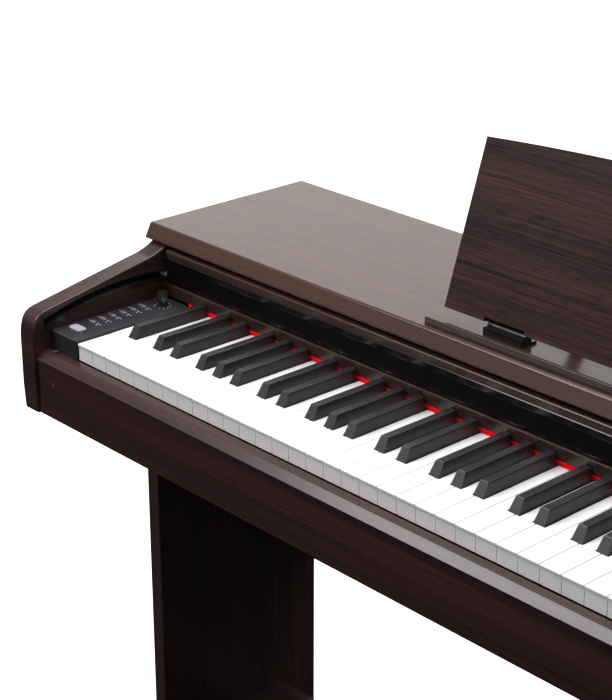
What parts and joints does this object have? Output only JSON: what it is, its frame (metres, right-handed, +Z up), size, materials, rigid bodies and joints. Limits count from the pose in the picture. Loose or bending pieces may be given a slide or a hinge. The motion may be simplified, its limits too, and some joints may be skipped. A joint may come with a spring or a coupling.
{
  "type": "digital piano on stand",
  "caption": "Digital piano in dark rosewood laminate with weighted keys, arched sliding key cover, folding music rest, panel stand and pedals.",
  "frame": {"origin": "on the floor under the middle of the piano", "axes": "+X towards the treble end (player's right), +Y towards the back, +Z up"},
  "size_m": [1.376, 0.411, 0.9968],
  "materials": {
    "rosewood": "satin dark rosewood laminate with fine straight grain",
    "fibreboard": "matt dark foil over fibreboard",
    "gloss_black": "glossy black extrusion",
    "satin_black": "satin black moulding",
    "charcoal_panel": "fine matt charcoal panel",
    "red_felt": "pressed wool felt",
    "ivory_plastic": "satin-gloss white key plastic",
    "ebony_plastic": "matt black key plastic",
    "grey_button": "matt pale grey button plastic",
    "knob_black": "glossy black fluted knob",
    "soft_rubber": "matt black rubber",
    "roller_nylon": "grey nylon",
    "bracket_steel": "black painted steel",
    "pedal_brass": "polished brass",
    "circuit_green": "green circuit board",
    "speaker_black": "black paper cone in a black basket",
    "red_lamp": "small red lamp lens"
  },
  "bodies": {
    "case": {"top_board": "rosewood", "left_cheek": "rosewood", "right_cheek": "rosewood", "key_slip": "rosewood", "front_apron": "rosewood", "rest_ledge": "rosewood", "side_panels": "rosewood", "stand_feet": "rosewood", "back_panel": "rosewood", "pedal_box": "rosewood", "key_bed": "fibreboard", "rear_board": "fibreboard", "key_frame": "fibreboard", "name_board": "satin_black", "cover_tracks": "satin_black", "speaker_boxes": "satin_black", "socket_boxes": "satin_black", "rest_brackets": "satin_black", "left_end_block": "charcoal_panel", "right_end_block": "charcoal_panel", "felt_strips": "red_felt", "cover_bumpers": "soft_rubber", "foot_glides": "soft_rubber", "stand_brackets": "bracket_steel", "pedal_bracket": "bracket_steel", "pedal_springs": "bracket_steel", "circuit_boards": "circuit_green", "speaker_drivers": "speaker_black", "power_led": "red_lamp"},
    "cover": {"key_cover": "rosewood", "cover_front_rail": "gloss_black", "cover_handle_strip": "rosewood", "cover_rollers": "roller_nylon"},
    "rest": {"music_rest": "rosewood", "rest_hinge_leaves": "bracket_steel"},
    "props": {"rest_props": "bracket_steel"},
    "c_keys": {"c_keys": "ivory_plastic"},
    "d_keys": {"d_keys": "ivory_plastic"},
    "e_keys": {"e_keys": "ivory_plastic"},
    "f_keys": {"f_keys": "ivory_plastic"},
    "g_keys": {"g_keys": "ivory_plastic"},
    "a_keys": {"a_keys": "ivory_plastic"},
    "b_keys": {"b_keys": "ivory_plastic"},
    "c_sharp_keys": {"c_sharp_keys": "ebony_plastic"},
    "d_sharp_keys": {"d_sharp_keys": "ebony_plastic"},
    "f_sharp_keys": {"f_sharp_keys": "ebony_plastic"},
    "g_sharp_keys": {"g_sharp_keys": "ebony_plastic"},
    "a_sharp_keys": {"a_sharp_keys": "ebony_plastic"},
    "power_button": {"power_button": "grey_button"},
    "function_button_1": {"function_button_1": "grey_button"},
    "function_button_2": {"function_button_2": "grey_button"},
    "function_button_3": {"function_button_3": "grey_button"},
    "function_button_4": {"function_button_4": "grey_button"},
    "function_button_5": {"function_button_5": "grey_button"},
    "function_button_6": {"function_button_6": "grey_button"},
    "volume_knob": {"volume_knob": "knob_black"},
    "soft_pedal": {"soft_pedal": "pedal_brass"},
    "sostenuto_pedal": {"sostenuto_pedal": "pedal_brass"},
    "damper_pedal": {"damper_pedal": "pedal_brass"},
    "box_adjuster": {"box_adjuster": "soft_rubber"}
  },
  "joints": [
    {"name": "cover_slide", "type": "hinge", "parent": "case", "child": "cover", "pos_m": [0, -0.0795, 0.42], "axis": [1, 0, 0], "range_deg": [0, 26.5]},
    {"name": "rest_fold", "type": "hinge", "parent": "case", "child": "rest", "pos_m": [0, 0.01422, 0.8215], "axis": [1, 0, 0], "range_deg": [-70, 0]},
    {"name": "prop_swing", "type": "hinge", "parent": "rest", "child": "props", "pos_m": [0, 0.03892, 0.87919], "axis": [1, 0, 0], "range_deg": [0, 129.5]},
    {"name": "c_key_press", "type": "hinge", "parent": "case", "child": "c_keys", "pos_m": [0, 0.0365, 0.725], "axis": [1, 0, 0], "range_deg": [0, 2.5], "stiffness_Nm_per_rad": 12, "springref_deg": -6.88},
    {"name": "d_key_press", "type": "hinge", "parent": "case", "child": "d_keys", "pos_m": [0, 0.0365, 0.725], "axis": [1, 0, 0], "range_deg": [0, 2.5], "stiffness_Nm_per_rad": 12, "springref_deg": -6.88},
    {"name": "e_key_press", "type": "hinge", "parent": "case", "child": "e_keys", "pos_m": [0, 0.0365, 0.725], "axis": [1, 0, 0], "range_deg": [0, 2.5], "stiffness_Nm_per_rad": 12, "springref_deg": -6.88},
    {"name": "f_key_press", "type": "hinge", "parent": "case", "child": "f_keys", "pos_m": [0, 0.0365, 0.725], "axis": [1, 0, 0], "range_deg": [0, 2.5], "stiffness_Nm_per_rad": 12, "springref_deg": -6.88},
    {"name": "g_key_press", "type": "hinge", "parent": "case", "child": "g_keys", "pos_m": [0, 0.0365, 0.725], "axis": [1, 0, 0], "range_deg": [0, 2.5], "stiffness_Nm_per_rad": 12, "springref_deg": -6.88},
    {"name": "a_key_press", "type": "hinge", "parent": "case", "child": "a_keys", "pos_m": [0, 0.0365, 0.725], "axis": [1, 0, 0], "range_deg": [0, 2.5], "stiffness_Nm_per_rad": 12, "springref_deg": -6.88},
    {"name": "b_key_press", "type": "hinge", "parent": "case", "child": "b_keys", "pos_m": [0, 0.0365, 0.725], "axis": [1, 0, 0], "range_deg": [0, 2.5], "stiffness_Nm_per_rad": 12, "springref_deg": -6.88},
    {"name": "c_sharp_key_press", "type": "hinge", "parent": "case", "child": "c_sharp_keys", "pos_m": [0, 0.0365, 0.725], "axis": [1, 0, 0], "range_deg": [0, 3], "stiffness_Nm_per_rad": 12, "springref_deg": -6.88},
    {"name": "d_sharp_key_press", "type": "hinge", "parent": "case", "child": "d_sharp_keys", "pos_m": [0, 0.0365, 0.725], "axis": [1, 0, 0], "range_deg": [0, 3], "stiffness_Nm_per_rad": 12, "springref_deg": -6.88},
    {"name": "f_sharp_key_press", "type": "hinge", "parent": "case", "child": "f_sharp_keys", "pos_m": [0, 0.0365, 0.725], "axis": [1, 0, 0], "range_deg": [0, 3], "stiffness_Nm_per_rad": 12, "springref_deg": -6.88},
    {"name": "g_sharp_key_press", "type": "hinge", "parent": "case", "child": "g_sharp_keys", "pos_m": [0, 0.0365, 0.725], "axis": [1, 0, 0], "range_deg": [0, 3], "stiffness_Nm_per_rad": 12, "springref_deg": -6.88},
    {"name": "a_sharp_key_press", "type": "hinge", "parent": "case", "child": "a_sharp_keys", "pos_m": [0, 0.0365, 0.725], "axis": [1, 0, 0], "range_deg": [0, 3], "stiffness_Nm_per_rad": 12, "springref_deg": -6.88},
    {"name": "power_button_press", "type": "slide", "parent": "case", "child": "power_button", "axis": [0, 0, 1], "range_m": [-0.0006, 0], "stiffness_N_per_m": 400, "springref_m": 0.001},
    {"name": "function_button_1_press", "type": "slide", "parent": "case", "child": "function_button_1", "axis": [0, 0, 1], "range_m": [-0.0006, 0], "stiffness_N_per_m": 400, "springref_m": 0.001},
    {"name": "function_button_2_press", "type": "slide", "parent": "case", "child": "function_button_2", "axis": [0, 0, 1], "range_m": [-0.0006, 0], "stiffness_N_per_m": 400, "springref_m": 0.001},
    {"name": "function_button_3_press", "type": "slide", "parent": "case", "child": "function_button_3", "axis": [0, 0, 1], "range_m": [-0.0006, 0], "stiffness_N_per_m": 400, "springref_m": 0.001},
    {"name": "function_button_4_press", "type": "slide", "parent": "case", "child": "function_button_4", "axis": [0, 0, 1], "range_m": [-0.0006, 0], "stiffness_N_per_m": 400, "springref_m": 0.001},
    {"name": "function_button_5_press", "type": "slide", "parent": "case", "child": "function_button_5", "axis": [0, 0, 1], "range_m": [-0.0006, 0], "stiffness_N_per_m": 400, "springref_m": 0.001},
    {"name": "function_button_6_press", "type": "slide", "parent": "case", "child": "function_button_6", "axis": [0, 0, 1], "range_m": [-0.0006, 0], "stiffness_N_per_m": 400, "springref_m": 0.001},
    {"name": "volume_turn", "type": "hinge", "parent": "case", "child": "volume_knob", "pos_m": [-0.631, -0.0525, 0.739], "axis": [0, 0, 1], "range_deg": [-150, 150]},
    {"name": "soft_pedal_press", "type": "hinge", "parent": "case", "child": "soft_pedal", "pos_m": [-0.078, 0.1235, 0.09], "axis": [1, 0, 0], "range_deg": [0, 4], "stiffness_Nm_per_rad": 8, "springref_deg": -6.88},
    {"name": "sostenuto_pedal_press", "type": "hinge", "parent": "case", "child": "sostenuto_pedal", "pos_m": [0, 0.1235, 0.09], "axis": [1, 0, 0], "range_deg": [0, 4], "stiffness_Nm_per_rad": 8, "springref_deg": -6.88},
    {"name": "damper_pedal_press", "type": "hinge", "parent": "case", "child": "damper_pedal", "pos_m": [0.078, 0.1235, 0.09], "axis": [1, 0, 0], "range_deg": [0, 4], "stiffness_Nm_per_rad": 8, "springref_deg": -6.88},
    {"name": "adjuster_turn", "type": "hinge", "parent": "case", "child": "box_adjuster", "pos_m": [0, 0.1215, 0.02], "axis": [0, 0, 1], "range_deg": [-180, 180]}
  ],
  "couplings": [
    {"joint": "prop_swing", "follows": "rest_fold", "ratio": -1.85}
  ]
}
